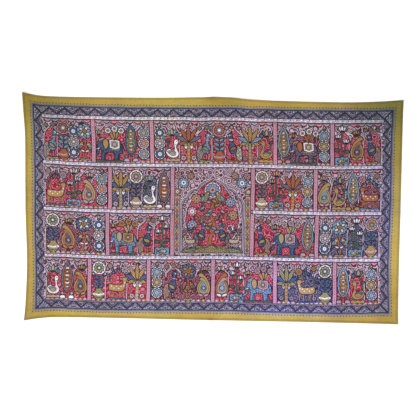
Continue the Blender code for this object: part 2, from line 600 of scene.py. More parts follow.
def potted_flower(b, main, second, third, accent):
    """A tall flower with a pale ring behind it, in a banded pot."""
    stem(b, smooth([(0, 36), (3, 64), (-1, 88), (0, 104)], closed=False), "green")
    for side in (-1, 1):
        for height, reach in ((46, 27), (64, 27), (82, 22)):
            leaf(b.at(0, height, turn=-58 * side), reach, 12, second)
        bud(b.at(20 * side, 92, turn=-20 * side), 17, third, "green")
    pot = [(-9, 0), (9, 0), (20, 9), (24, 22), (15, 34), (10, 38), (14, 44)]
    b.inked(smooth(pot + [(-x, y) for x, y in reversed(pot)], parts=1), main, "hatch")
    b.line([(-23, 22), (0, 18), (23, 22)], 6.0, accent)
    b.line([(-19, 11), (0, 7), (19, 11)], 2.0, "ink")
    for x in (-14, 0, 14):
        b.dot(x, 20.5 - abs(x) / 7 + 2, 2.0, "maroon")
    b.at(0, 126).inked(round_points(27, 16), accent)
    flower(b.at(0, 126), 21, main, second, third, 9)


def cypress(b, main, second, third, accent):
    """A tall pointed tree, filled with rows of small leaves."""
    stem(b, [(0, 0), (0, 26)], "orange", 5.0)
    crown = b.at(0, 20)
    crown.inked(almond(132, 50, 0.36), main)
    crown.at(0, 7).fine(almond(114, 36, 0.36), second, "net")
    for row in range(6):
        height, reach = 22 + row * 15, 11 - row * 1.2
        for side in (-1, 1):
            small = crown.at(0, height, turn=-48 * side)
            small.fine(almond(reach + 4, 7), third if row % 2 else accent)
        crown.dot(0, height + 4, 2.6, "white")
    for side in (-1, 1):
        b.at(17 * side, 0).inked(smooth([(-11, 0), (11, 0), (7, 12), (-7, 12)], parts=2), third)
        flower(b.at(19 * side, 20), 8, accent, third, "ink", 6)


def lotus_pond(b, main, second, third, accent):
    """Lotuses on long stems above a pond with a fish in it."""
    for x, foot, height, width in ((-15, -6, 84, 32), (16, 6, 102, 32), (0, 0, 132, 40)):
        stem(b, smooth([(foot, 26), ((x + foot) / 2 + 3, height * 0.6), (x, height)], False), "green")
        lotus(b.at(x, height), width, second, third, accent)
    for x, y in ((-20, 50), (20, 56)):
        b.at(x, y).inked(round_points(11, 12, 0.62), "green", "hatch")
    water = [(-28, 0), (28, 0), (29, 22), (20, 30), (10, 25), (0, 31), (-10, 25), (-20, 30), (-29, 22)]
    b.inked(water, "sky", "hatch")
    fish(b.at(0, 12, 0.6), main, second, third, accent)


def leafy_tree(b, main, second, third, accent):
    """A bent trunk under a round crown of leaves and fruit."""
    trunk = smooth([(0, 0), (-6, 26), (5, 52), (-1, 84), (0, 104)], closed=False, parts=3)
    stem(b, trunk, "orange", 5.5)
    b.inked(smooth([(-22, 0), (22, 0), (14, 10), (0, 6), (-14, 10)], parts=1), accent, "hatch")
    crown = b.at(0, 116)
    crown.inked(scalloped(31, 10, 0.12), main)
    for i in range(8):
        leaf(crown.at(turn=i * 45 + 10), 26, 12, second if i % 2 else third)
    flower(crown, 10, accent, third, "ink", 6)
    for side in (-1, 1):
        parrot(b.at(17 * side, 44, 0.62, flip=side > 0), third, accent, main, second)
        leaf(b.at(0, 34, turn=-70 * side), 20, 9, second)


def plantain(b, main, second, third, accent):
    """A clump of broad arching leaves with a hanging flower."""
    b.line([(0, 0), (0, 84)], 11 + PEN, "ink")
    b.line([(0, 0), (0, 84)], 11, accent)
    for height in (14, 28, 42, 56, 70):
        b.line([(-5, height), (0, height - 4), (5, height)], 1.4, "ink")
    for lean, reach in ((104, 42), (-104, 42), (66, 56), (-66, 56), (30, 66), (-30, 66), (0, 72)):
        leaf(b.at(0, 80, turn=lean), reach, 17, main if abs(lean) % 60 == 6 else second, "hatch")
    for side in (-1, 1):
        bud(b.at(14 * side, 74, turn=180 - 12 * side), 26, third, accent)
    for side in (-1, 1):
        flower(b.at(20 * side, 16), 10, third, accent, "ink", 7)


def paisley_spray(b, main, second, third, accent):
    """A mango shape with a smaller one inside, over a pair of leaves."""
    mango = [(0, 0), (22, 8), (27, 34), (18, 62), (4, 82), (-10, 92), (-22, 86), (-20, 76)]
    mango += [(-12, 76), (-10, 66), (-20, 52), (-27, 30), (-20, 8)]
    b.at(0, 18).inked(smooth(mango), main)
    b.at(0, 26, 0.72).fine(smooth(mango), accent, "dots")
    b.at(0, 34, 0.46).fine(smooth(mango), second)
    flower(b.at(1, 49), 9, third, "white", "ink", 6)
    for side in (-1, 1):
        leaf(b.at(0, 16, turn=-66 * side), 26, 12, third)
        leaf(b.at(4, 112, turn=-44 * side), 24, 11, second)
    lotus(b.at(4, 118), 36, accent, third, main)


def rose_pillar(b, main, second, third, accent):
    """Round flowers one above another on a leafy stem."""
    stem(b, [(0, 0), (0, 130)], "green")
    for height in (10, 50, 88):
        for side in (-1, 1):
            leaf(b.at(0, height, turn=-62 * side), 26, 12, second)
    ends, middle = (main, accent, third), (third, second, accent)
    for height, dyes in ((30, ends), (72, middle), (114, ends)):
        b.at(0, height).inked(round_points(22, 14), "white" if dyes[0] != "white" else "pink")
        flower(b.at(0, height), 18, *dyes, 8)
    bud(b.at(0, 132), 22, third, "green")


# Animals and birds

def parrot(b, main, second, third, accent):
    """A perched parrot, looking along +X."""
    b.inked([(-12, 12), (-20, -16), (-14, -18), (-4, 8)], second)
    body = [(-14, 6), (-14, 22), (-6, 36), (2, 46), (12, 48), (18, 42), (16, 34), (14, 22), (6, 6), (-4, 0)]
    b.inked(smooth(body), main, "net")
    b.at(-7, 30, turn=158).fine(almond(32, 15), third, "hatch")
    b.fine([(16, 43), (24, 40), (18, 33)], "crimson")
    b.dot(11, 42, 2.2, "white")
    b.line([(0, 34), (14, 30)], 3.0, accent)


def peacock(b, main, second, third, accent):
    """A standing peacock looking along +X, its train hanging behind it."""
    train = [(-10, 66), (-26, 62), (-33, 44), (-32, 16), (-26, 0), (-14, 4), (-8, 26), (-2, 48)]
    b.inked(smooth(train), second, "hatch")
    for x, y in ((-24, 50), (-14, 44), (-25, 34), (-16, 28), (-26, 18), (-19, 10)):
        b.at(x, y).fine(round_points(5, 8, 1.2), accent)
        b.dot(x, y, 2.5, "indigo")
    for x in (0, 9):
        b.line([(x, 34), (x + 1, 10), (x + 8, 7)], 2.6, "ink")
    body = [(-14, 52), (-6, 36), (8, 32), (18, 42), (20, 58), (15, 74), (17, 92), (22, 102), (20, 112)]
    body += [(12, 116), (4, 110), (5, 94), (2, 80), (-8, 68)]
    b.inked(smooth(body), main, "net")
    b.fine([(21, 109), (31, 104), (21, 102)], accent)
    b.at(-10, 60, turn=-118).inked(almond(30, 15), third, "hatch")
    b.line([(3, 88), (17, 88)], 3.4, accent)
    b.dot(15, 107, 2.4, "white")
    for lean in (-8, 10, 28):
        tip = b.at(11, 114, turn=lean)
        tip.line([(0, 0), (0, 14)], 1.6, "ink")
        tip.dot(0, 16, 3.0, accent)
    b.inked(smooth([(-26, 0), (30, 0), (24, 9), (4, 6), (-18, 9)], parts=1), third, "hatch")
    for x in (-20, 8, 28):
        flower(b.at(x, 132 + (x % 3) * 3), 9, third, accent, "ink", 6)


def swan(b, main, second, third, accent):
    """A swan on its mound under a lotus, looking along +X."""
    neck = [(-28, 40), (-20, 22), (0, 14), (18, 20), (24, 34), (17, 48), (13, 62), (20, 76), (19, 86)]
    neck += [(10, 90), (3, 82), (4, 66), (7, 50), (0, 44), (-14, 52)]
    b.inked(smooth(neck), main)
    b.fine([(19, 84), (30, 79), (19, 76)], accent)
    for height, reach, dye in ((36, 36, second), (30, 30, third)):
        b.at(12, height, turn=84).fine(almond(reach, 17), dye, "hatch")
    b.dot(13, 82, 2.3, "indigo")
    b.line([(6, 68), (15, 68)], 3.0, second)
    b.inked([(-28, 0), (28, 0), (28, 10), (20, 14), (10, 9), (0, 14), (-10, 9), (-20, 14), (-28, 10)], third)
    stem(b, smooth([(-20, 52), (-14, 84), (-4, 104)], False), "green")
    lotus(b.at(-3, 106), 46, accent, second, third)
    leaf(b.at(-14, 78, turn=64), 18, 10, "green")
    flower(b.at(17, 108), 9, second, accent, "ink", 6)


def fish(b, main, second, third, accent):
    """A fish swimming along +X, about its middle."""
    b.inked([(-22, 0), (-38, 13), (-33, 0), (-38, -13)], second, "hatch")
    body = [(-26, 0), (-10, 11), (10, 13), (26, 6), (32, 0), (26, -6), (10, -12), (-10, -10)]
    b.inked(smooth(body), main, "net")
    b.line([(16, 11), (12, 0), (16, -10)], 2.4, accent)
    b.fine([(-8, 11), (4, 20), (8, 12)], third)
    b.dot(23, 2, 2.6, "white")


def deer(b, main, second, third, accent):
    """A spotted deer looking back over its back, under a flowering branch."""
    for x, lean in ((-26, -3), (-17, 3), (14, -2), (24, 5)):
        b.line([(x, 42), (x + lean, 22), (x + lean * 0.5, 2)], 6.0, "ink", taper=0.7)
        b.line([(x, 42), (x + lean, 22), (x + lean * 0.5, 4)], 3.4, main, taper=0.7)
    body = [(-34, 52), (-30, 38), (-10, 34), (16, 34), (28, 40), (33, 56), (36, 72), (40, 84), (31, 92)]
    body += [(18, 88), (8, 90), (12, 80), (22, 78), (22, 66), (10, 60), (-16, 62), (-30, 64)]
    b.inked(smooth(body), main)
    for x, y in ((-22, 54), (-12, 46), (-2, 54), (8, 46), (16, 54), (26, 56), (30, 68)):
        b.dot(x, y, 2.6, "white")
    b.fine([(26, 91), (20, 104), (31, 96)], second)
    for side in (0, 1):
        horn = b.at(32 + side * 4, 92, turn=-6 - side * 18)
        horn.line(smooth([(0, 0), (5, 12), (0, 24)], False), 3.0, "ink", taper=0.5)
    b.dot(20, 84, 2.2, "ink")
    b.line([(-34, 52), (-40, 62)], 4.6, "ink")
    b.inked(smooth([(-40, 0), (40, 0), (34, 8), (0, 5), (-34, 8)], parts=1), third, "hatch")
    stem(b, smooth([(-30, 72), (-24, 104), (0, 124), (30, 118)], False, 3), "green")
    leaves = ((-29, 92, 60), (-17, 114, 20), (-22, 108, -80), (8, 124, 24), (14, 122, 160), (-2, 124, 150))
    for x, y, lean in leaves:
        leaf(b.at(x, y, turn=lean), 19, 10, third)
    flower(b.at(30, 122), 15, accent, second, "ink", 8)
    flower(b.at(-28, 136), 11, second, accent, "ink", 7)


def elephant(b, main, second, third, accent):
    """A decked elephant walking along +X, with a spray of flowers over its back."""
    for x in (-36, 18):
        b.inked([(x, 0), (x + 13, 0), (x + 14, 34), (x - 2, 34)], main, "hatch")
    body = [(-48, 30), (-50, 56), (-42, 76), (-20, 84), (6, 82), (20, 92), (36, 92), (47, 80), (50, 62)]
    body += [(50, 44), (56, 30), (64, 26), (64, 19), (54, 20), (44, 30), (41, 46), (36, 50), (34, 34)]
    body += [(34, 2), (22, 2), (20, 30), (-14, 32), (-18, 2), (-32, 2), (-34, 30)]
    b.inked(smooth(body), main, "net")
    b.inked(smooth([(10, 84), (20, 88), (29, 76), (26, 58), (18, 46), (9, 56), (6, 70)]), second)
    b.fine([(40, 54), (58, 46), (43, 47)], "white")
    b.dot(38, 74, 2.6, "ink")
    b.inked([(-38, 82), (-16, 88), (4, 84), (2, 52), (-18, 46), (-38, 52)], third)
    b.fine([(-31, 77), (-16, 81), (-3, 78), (-4, 58), (-18, 53), (-31, 58)], accent, "dots")
    flower(b.at(-17, 67), 9, third, "white", "ink", 8)
    for x in (-34, -26, -18, -10, -2):
        b.dot(x, 46, 2.6, accent)
    b.line([(-49, 66), (-58, 40)], 3.4, "ink")
    b.line([(24, 90), (44, 82)], 4.0, accent)
    for x, lean, reach in ((-36, 26, 40), (-17, 0, 48), (2, -26, 40)):
        leaf(b.at(-17, 84, turn=lean), reach, 13, second)
        flower(b.at(x * 1.35 + 4, 84 + reach * 0.94), 13, third, accent, "ink", 7)
    lotus(b.at(42, 104), 34, third, accent, second)
    b.inked(smooth([(-54, -3), (58, -3), (52, 5), (0, 2), (-48, 5)], parts=1), "green")


# Framing

def scallop_row(b, left, right, top, pitch, dyes):
    """A valance of swags along the top of a cell."""
    count = max(2, round((right - left) / pitch))
    width = (right - left) / count
    for i in range(count):
        middle = left + width * (i + 0.5)
        swag = [(-width / 2, 0), (-width * 0.42, -7), (-width * 0.22, -13), (0, -15)]
        b.at(middle, top).inked(mirrored(swag), dyes[i % len(dyes)])
        b.at(middle, top).line([(-width * 0.3, -5), (0, -9), (width * 0.3, -5)], 2.0, "halo")
        b.dot(left + width * i, top - 6, 3.2, "ochre")


def petal_row(b, left, right, bottom, pitch, dyes):
    """A row of upright petals along the foot of a cell."""
    count = max(3, round((right - left) / pitch))
    width = (right - left) / count
    for i in range(count):
        petal = b.at(left + width * (i + 0.5), bottom)
        outline = mirrored([(-width / 2, 0), (-width * 0.42, 7), (0, 13)])
        petal.fine(outline, dyes[i % len(dyes)])
        petal.dot(0, 4.5, 1.9, "white")


def divider(b, x, bottom, top):
    """A pink upright bar with a chain of lozenges on it."""
    half = DIVIDER_WIDTH / 2
    b.inked(rectangle(x - half, x + half, bottom, top), "pink")
    count = round((top - bottom) / LOZENGE_PITCH)
    wide, tall = LOZENGE
    for i in range(count):
        y = bottom + (top - bottom) * (i + 0.5) / count
        b.fill([(x - wide, y), (x, y - tall), (x + wide, y), (x, y + tall)], "rose" if i % 2 else "mauve")


def strip(b, left, right, middle):
    """A pale strip between two pen lines, flecked with white, with a running vine and dots."""
    half = STRIP_HEIGHT / 2
    b.inked(rectangle(left, right, middle - half, middle + half), "lilac", "bare")
    x = left + 4
    while x < right - 14:
        width = rng.uniform(*FLECK_WIDTHS)
        b.fill(rectangle(x, x + width, middle - half + 2, middle + half - 2), "white", "bare")
        x += width + rng.uniform(*FLECK_GAPS)
    along = np.linspace(left + 3, right - 3, round((right - left) / (VINE_WAVE / 5)))
    wave = middle + VINE_DEPTH * np.sin(along * 2 * math.pi / VINE_WAVE)
    b.line(np.column_stack([along, wave]), FINE_PEN, "dusk")
    for i in range(int((right - left) / VINE_WAVE)):
        x = left + VINE_WAVE * (i + 0.5)
        b.dot(x, middle - 2.4 * math.copysign(1, math.sin(x * 2 * math.pi / VINE_WAVE)), 2.4, "violet", 5)


# Each motif with the width that it takes in a row, and what kinds of dye it is painted with
MOTIFS = {
    "pot": (potted_flower, 53, ("warm", "cool", "pale", "pale")),
    "cypress": (cypress, 50, ("cool", "warm", "pale", "warm")),
    "pond": (lotus_pond, 60, ("warm", "warm", "pale", "pale")),
    "tree": (leafy_tree, 62, ("cool", "pale", "warm", "warm")),
    "plantain": (plantain, 68, ("cool", "warm", "pale", "warm")),
    "paisley": (paisley_spray, 54, ("warm", "cool", "pale", "warm")),
    "roses": (rose_pillar, 46, ("cool", "warm", "pale", "pale")),
    "peacock": (peacock, 62, ("cool", "warm", "warm", "pale")),
    "swan": (swan, 58, ("pale", "cool", "warm", "warm")),
    "deer": (deer, 80, ("warm", "warm", "cool", "pale")),
    "elephant": (elephant, 112, ("cool", "warm", "pale", "warm")),
}
DYE_KINDS = {
    "warm": ("ochre", "orange", "tan", "ochre", "olive"),
    "cool": ("sky", "blue", "blue", "sky", "slate"),
    "pale": ("white", "lavender", "pink", "white", "ochre"),
}

# The cells of the four rows.
# Columns: row, left, right, ground, motifs from left to right
CELLS = (
    (0, -690, -484, "crimson", ("peacock", "pot", "roses", "tree")),
    (0, -484, -248, "crimson", ("elephant", "cypress", "roses")),
    (0, -248, 250, "crimson", ("roses", "swan", "plantain", "peacock", "pot", "peacock", "plantain", "swan")),
    (0, 250, 480, "maroon", ("cypress", "elephant", "roses")),
    (0, 480, 684, "crimson", ("pond", "paisley", "peacock")),
    (1, -690, -420, "crimson", ("deer", "pond", "paisley", "roses")),
    (1, -420, -166, "indigo", ("plantain", "pot", "swan", "cypress")),
    (1, 160, 414, "crimson", ("pot", "pond", "plantain", "roses")),
    (1, 414, 684, "maroon", ("paisley", "swan", "cypress", "deer")),
    (2, -690, -430, "maroon", ("pot", "paisley", "tree", "roses")),
    (2, -430, -166, "crimson", ("elephant", "peacock", "pond")),
    (2, 160, 424, "crimson", ("peacock", "elephant", "cypress")),
    (2, 424, 684, "indigo", ("roses", "tree", "pond", "pot")),
    (3, -690, -504, "crimson", ("swan", "cypress", "paisley")),
    (3, -504, -262, "crimson", ("pot", "deer", "plantain")),
    (3, -262, 2, "maroon", ("roses", "peacock", "tree", "paisley")),
    (3, 2, 256, "crimson", ("paisley", "pond", "elephant")),
    (3, 256, 500, "indigo", ("plantain", "deer", "pot")),
    (3, 500, 684, "crimson", ("cypress", "swan", "roses")),
)

# The tall block in the middle: its left and right, its tree's branches and its arch's flowers
CENTRE_BLOCK = (-166.0, 160.0)
# Columns: height of its foot, side, reach, rise
BRANCHES = (
    (88, 1, 78, 34),
    (104, -1, 82, 36),
    (140, 1, 84, 40),
    (158, -1, 82, 38),
    (196, 1, 72, 40),
    (212, -1, 66, 38),
)
# Columns: middle across, middle up, radius, outer dye, inner dye, heart, petals
ARCH_FLOWERS = (
    (118, 304, 22, "sky", "white", "maroon", 10),
    (90, 334, 15, "ochre", "pink", "ink", 8),
    (140, 334, 15, "pink", "ochre", "ink", 8),
    (144, 268, 13, "ochre", "white", "ink", 8),
)


def frame_loop(inset):
    """The rectangle this far inside the row of ticks."""
    left = -HALF_WIDTH + TICK_MARGINS["left"] + inset
    right = HALF_WIDTH - TICK_MARGINS["right"] - inset
    top = HALF_HEIGHT - TICK_MARGINS["top"] - inset
    bottom = -HALF_HEIGHT + TICK_MARGINS["bottom"] + inset
    return rectangle(left, right, bottom, top)


def paint_ticks(b):
    """The row of small dark marks on the margin."""
    corners = frame_loop(0)
    for i in range(4):
        start, end = corners[i], corners[(i + 1) % 4]
        length = np.linalg.norm(end - start)
        side = b.at(*start, turn=90 * i)
        for j in range(round(length / TICK_PITCH)):
            x = j * TICK_PITCH + rng.uniform(-1, 1)
            side.fill([(x - 1.8, -2.4), (x + 1.8, -2.1), (x + 1.6, 1.9), (x - 1.5, 2.1)], "ink")


def paint_zigzag(b):
    """The dark zigzag round the painting, with a half flower in each of its triangles."""
    inner = frame_loop(BAND_INNER)
    for i in range(4):
        start, end = inner[i], inner[(i + 1) % 4]
        length = np.linalg.norm(end - start)
        side = b.at(*start, turn=90 * i)
        count = round(length / ZIGZAG_PITCH)
        pitch = length / count
        for j in range(count):
            fill_triangle(side.at((j + 0.5) * pitch, 0, turn=180), pitch, "pink", "sky")
            if j:
                fill_triangle(side.at(j * pitch, -BAND_WIDTH), pitch, "lavender", "blue")
        path = [(j * pitch / 2, -BAND_WIDTH if j % 2 else 0) for j in range(2 * count + 1)]
        side.line(path, ZIGZAG_STROKE, "violet")
        side.line([(0, 0), (-BAND_WIDTH - 4, -BAND_WIDTH - 4)], ZIGZAG_STROKE, "violet")


def fill_triangle(b, width, outer, inner):
    """A pen line, a half flower and dots in a triangle standing on the brush's place."""
    b.line([(-width * 0.33, 1.5), (0, 19), (width * 0.33, 1.5)], FINE_PEN, "ink")
    half_flower(b.at(0, 1.5), 10, outer, inner)
    for side in (-1, 1):
        b.dot(width * 0.24 * side, 3.4, 2.0, "halo", 5)


def half_flower(b, radius, outer, inner):
    """Half a round flower standing on a line, up +Y."""
    turns = np.linspace(0, math.pi, 7)
    arch = np.column_stack([np.cos(turns), np.sin(turns)])
    b.fine(arch * radius, outer)
    b.fine(arch * radius * 0.55, inner)
    b.dot(0, radius * 0.22, 1.4, "ink")


def rectangle(left, right, bottom, top):
    return np.array([(left, bottom), (right, bottom), (right, top), (left, top)], float)


def inset_rectangle(inset):
    """The rectangle this far inside the cut edge."""
    x, y = HALF_WIDTH - inset, HALF_HEIGHT - inset
    return rectangle(-x, x, -y, y)


def row_heights(row):
    """The bottom and top of a row between its strips."""
    half = STRIP_HEIGHT / 2
    top = STRIP_MIDDLES[row] - half
    below = frame_loop(BAND_INNER)[0][1]
    bottom = STRIP_MIDDLES[row + 1] + half if row + 1 < len(STRIP_MIDDLES) else below
    return bottom, top


def niche(b, width, height, dye, lobes=1):
    """Ground behind a motif, or behind several, under pointed arches."""
    lobe = width / lobes
    outline = [(-width / 2, 0)]
    for i in range(lobes):
        middle = lobe * (i + 0.5) - width / 2
        for across, up in ((-0.5, 0.62), (-0.4, 0.77), (-0.17, 0.85), (0, 0.94), (0.17, 0.85), (0.4, 0.77)):
            outline.append((middle + across * lobe, up * height))
    outline += [(width / 2, 0.62 * height), (width / 2, 0)]
    b.haloed(outline, dye, "sprigs")


def paint_cell(b, index, row, left, right, ground, motifs):
    """One cell: its ground, valance and foot, then its motifs side by side."""
    bottom, top = row_heights(row)
    b.fill(rectangle(left, right, bottom, top), "mauve", "rings")
    scallop_row(b, left + 7, right - 7, top - 1, 30, ("mauve", "slate", "rose"))
    widths = [MOTIFS[name][1] for name in motifs]
    spare = (right - left - DIVIDER_WIDTH - sum(widths)) / len(motifs)
    starts = left + DIVIDER_WIDTH / 2 + np.cumsum([0.0] + [width + spare for width in widths[:-1]])
    middles = [start + (width + spare) / 2 for start, width in zip(starts, widths)]
    if index % 2:
        middle, width = (left + right) / 2, right - left - DIVIDER_WIDTH - 4
        niche(b.at(middle, bottom), width, (top - bottom) * 0.9, ground, lobes=len(motifs))
    else:
        for width, x in zip(widths, middles):
            height = (top - bottom) * rng.uniform(0.82, 0.92)
            niche(b.at(x, bottom), width + spare + 1, height, ground)
    petal_row(b, left + 7, right - 7, bottom + 1, 20, ("pink", "ochre", "lavender"))
    size = (top - bottom - MOTIF_CLEARANCE) / MOTIF_HEIGHT
    for i, (name, x) in enumerate(zip(motifs, middles)):
        draw, _, kinds = MOTIFS[name]
        dyes = [DYE_KINDS[kind][(index + i + n * 2) % 5] for n, kind in enumerate(kinds)]
        flip = (x > 0) != (name == "elephant" and i == 0)
        draw(b.at(x, bottom + MOTIF_FOOT, size, flip=flip), *dyes)


def tree_of_life(b):
    """The tall block in the middle: a flowering tree under an arch, with birds and beasts."""
    left, right = CENTRE_BLOCK
    bottom, top = row_heights(2)[0], row_heights(1)[1]
    b.fill(rectangle(left, right, bottom, top), "mauve", "rings")
    arch = b.at((left + right) / 2, bottom)
    opening = [(-128, 12), (-128, 214), (-118, 236), (-104, 244), (-98, 262), (-80, 276), (-62, 280)]
    opening = mirrored(opening + [(-52, 298), (-30, 312), (-12, 316), (0, 336)])
    arch.haloed(opening, "lavender")
    arch.at(0, 10, 0.95).inked(opening, "mauve", "rings")
    arch.at(0, 20).haloed(smooth(almond(300, 220, 0.42)), "crimson", "sprigs")
    flowering_tree(arch)
    hill = [(-118, 13), (118, 13), (104, 28), (70, 40), (36, 32), (0, 46), (-36, 32), (-70, 40), (-104, 28)]
    arch.inked(smooth(hill, parts=2), "olive", "net")
    for side in (-1, 1):
        flip = side > 0
        peacock(arch.at(46 * side, 34, 0.92, flip=flip), "blue", "green", "ochre", "pink")
        deer(arch.at(90 * side, 30, 0.62, flip=not flip), "tan", "orange", "sky", "pink")
        parrot(arch.at(28 * side, 224, 0.9, flip=flip), "olive", "green", "sky", "rose")
        for x, y, *looks in ARCH_FLOWERS:
            flower(arch.at(x * side, y), *looks)
        pillar = arch.at(144 * side, 0)
        pillar.inked(rectangle(-11, 11, 12, 250), "tan")
        for i in range(14):
            pillar.fine(almond(15, 12) + (0, 18 + i * 16), ("blue", "rose", "ochre")[i % 3])


def flowering_tree(b):
    """The trunk, its branches with leaves, and a flower at the end of each."""
    trunk = smooth([(0, 24), (-8, 70), (9, 120), (-6, 176), (4, 232), (0, 262)], False, 3)
    stem(b, trunk, "orange", 10.0)
    for n, (foot, side, reach, rise) in enumerate(BRANCHES):
        end = (side * reach, foot + rise * 0.7)
        path = smooth([(0, foot), (side * reach * 0.4, foot + rise * 0.9), end], False, 3)
        stem(b, path, "orange", 5.0)
        for share, lean in ((0.3, 20), (0.45, 160), (0.6, 30), (0.75, 150), (0.9, 0)):
            place = path[int(share * (len(path) - 1))]
            leaf(b.at(*place, turn=side * (lean - 96)), 26, 13, ("sky", "olive", "pink")[n % 3], "hatch")
        dyes = (("pink", "white", "ochre"), ("sky", "lavender", "maroon"), ("ochre", "pink", "indigo"))
        flower(b.at(*end), 21, *dyes[n % 3], 9)
    b.at(0, 274).inked(round_points(33, 18), "white")
    flower(b.at(0, 274), 28, "sky", "pink", "maroon", 12)


def paint_panel(painting):
    """Everything painted on the cloth, from its ground up."""
    b = Brush(painting)
    # the hem's bands, darker than the mustard partly as painted shade along the edge
    for inset, dye in zip(EDGE_LINES, ("hem", "hem", "mustard")):
        painting.add(inset_rectangle(inset), dye, "bare", spread=0)
    b.fill(frame_loop(SAND_LINE), "sand", "bare")
    paint_ticks(b)
    b.fill(frame_loop(PALE_LINE), "dusk", "bare")
    b.fill(frame_loop(DARK_LINE[0]), "violet", "bare")
    b.fill(frame_loop(DARK_LINE[1]), "dusk", "faint rings")
    inner = frame_loop(BAND_INNER)
    paint_zigzag(b)
    (left, bottom), (right, top) = inner[0], inner[2]
    b.fill(inner, "mauve", "rings")
    for index, cell in enumerate(CELLS):
        paint_cell(b, index, *cell)
    tree_of_life(b)
    for row, cell_left, cell_right, _, _ in CELLS:
        if cell_left > left + DIVIDER_WIDTH:
            divider(b, cell_left, *row_heights(row))
    divider(b, CENTRE_BLOCK[0], *row_heights(1))
    divider(b, CENTRE_BLOCK[0], *row_heights(2))
    for row, middle in enumerate(STRIP_MIDDLES):
        if row == 2:
            strip(b, left, CENTRE_BLOCK[0], middle)
            strip(b, CENTRE_BLOCK[1], right, middle)
        else:
            strip(b, left, right, middle)
    b.inked(rectangle(left, right, bottom - 3, bottom + 1), "lilac", "bare")


def dense_loop(inset):
    """The rectangle this far inside the cut edge, with enough points to follow the laid edge."""
    counts = [round(length / MM / RIM_STEP) for length in (CUT_WIDTH, CUT_HEIGHT)] * 2
    return split_sides(inset_rectangle(inset), counts)


# The mesh

def spare_points(step, used):
    """Points where the outlines leave wide gaps, for the sheet's own form, closer at the creases."""
    half_width = HALF_WIDTH - HEM_WIDTH / MM - HEM_CLEARANCE
    half_height = HALF_HEIGHT - HEM_WIDTH / MM - HEM_CLEARANCE
    columns = list(np.linspace(-half_width, half_width, round(2 * half_width / step)))
    rows = list(np.linspace(-half_height, half_height, round(2 * half_height / step)))
    for axis, place, _, _ in CREASES:
        lines = columns if axis == "x" else rows
        middle = place / MM
        lines[:] = [at for at in lines if abs(at - middle) > CREASE_OFFSETS[-1] + step / 3]
        lines += [middle + side * offset for offset in CREASE_OFFSETS for side in (-1, 1)]
    points = np.array([(x, y) for y in sorted(set(rows)) for x in sorted(set(columns))])
    taken = {tuple(square) for square in np.floor(used / (step * FREE_SHARE)).astype(int).tolist()}
    squares = np.floor(points / (step * FREE_SHARE)).astype(int).tolist()
    near_crease = np.zeros(len(points), bool)
    for axis, place, _, _ in CREASES:
        away = np.abs(points[:, 0 if axis == "x" else 1] - place / MM)
        near_crease |= away < CREASE_OFFSETS[-1]
    free = np.array([tuple(square) not in taken for square in squares])
    return np.vstack([points[free | near_crease], wrinkle_points()])


def wrinkle_points():
    """Points along the wrinkles and across them, close enough to show their form."""
    points = []
    for x, y, direction, half_length, half_width, _ in WRINKLES:
        cos, sin = math.cos(math.radians(direction)), math.sin(math.radians(direction))
        for along in np.arange(-half_length, half_length + 0.001, WRINKLE_STEP * MM):
            for share in (-1.0, -0.5, 0.0, 0.5, 1.0):
                away = share * half_width
                points.append((x + along * cos - away * sin, y + along * sin + away * cos))
    points = np.array(points) / MM
    inside = (HALF_WIDTH, HALF_HEIGHT) - np.abs(points) > HEM_WIDTH / MM + HEM_CLEARANCE
    return points[inside.all(axis=1)]


def windings(loop, places):
    """How often the loop goes round each place."""
    order = np.argsort(places[:, 1])
    heights = places[order, 1]
    turns = np.zeros(len(places), int)
    for (x0, y0), (x1, y1) in zip(loop, np.roll(loop, -1, axis=0)):
        first, last = np.searchsorted(heights, (min(y0, y1), max(y0, y1)))
        if first == last:
            continue
        level = order[first:last]
        crossing = x0 + (places[level, 1] - y0) * (x1 - x0) / (y1 - y0)
        turns[level] += np.where(places[level, 0] < crossing, 1 if y1 > y0 else -1, 0)
    return turns


def covers(loops, places):
    """The last of the loops that covers each place."""
    cover = np.zeros(len(places), int)
    order = np.argsort(places[:, 0])
    in_order = places[order]
    for index, loop in enumerate(loops):
        low, high = loop.min(axis=0), loop.max(axis=0)
        first, last = np.searchsorted(in_order[:, 0], (low[0], high[0]))
        beside = in_order[first:last]
        near = first + np.flatnonzero((beside[:, 1] > low[1]) & (beside[:, 1] < high[1]))
        inside = windings(loop, in_order[near]) != 0
        cover[order[near[inside]]] = index
    return cover


def constrained(points, edges):
    """The triangles that keep these edges, with the new points and where the old ones went."""
    sides = [tuple(edge) for edge in np.asarray(edges).tolist()]
    verts, _, tris, origins, _, _ = delaunay_2d_cdt(
        [Vector(p) for p in points], sides, [], 0, MEET_WITHIN
    )
    went = np.zeros(len(points), int)
    for index, sources in enumerate(origins):
        for source in sources:
            went[source] = index
    return np.array([tuple(v) for v in verts]), np.array([tuple(t) for t in tris]), went


def ring_edges(start, count):
    """The edges of a loop whose points are numbered from this one on."""
    here = start + np.arange(count)
    return np.column_stack([here, start + (np.arange(count) + 1) % count])


def seen_edges(tris, looks):
    """The edges with a different look on their two sides."""
    sides = np.sort(np.vstack([tris[:, (0, 1)], tris[:, (1, 2)], tris[:, (2, 0)]]), axis=1)
    looks = np.tile(looks, 3)
    order = np.lexsort((sides[:, 1], sides[:, 0]))
    sides, looks = sides[order], looks[order]
    shared = np.all(sides[1:] == sides[:-1], axis=1) & (looks[1:] != looks[:-1])
    return sides[1:][shared]


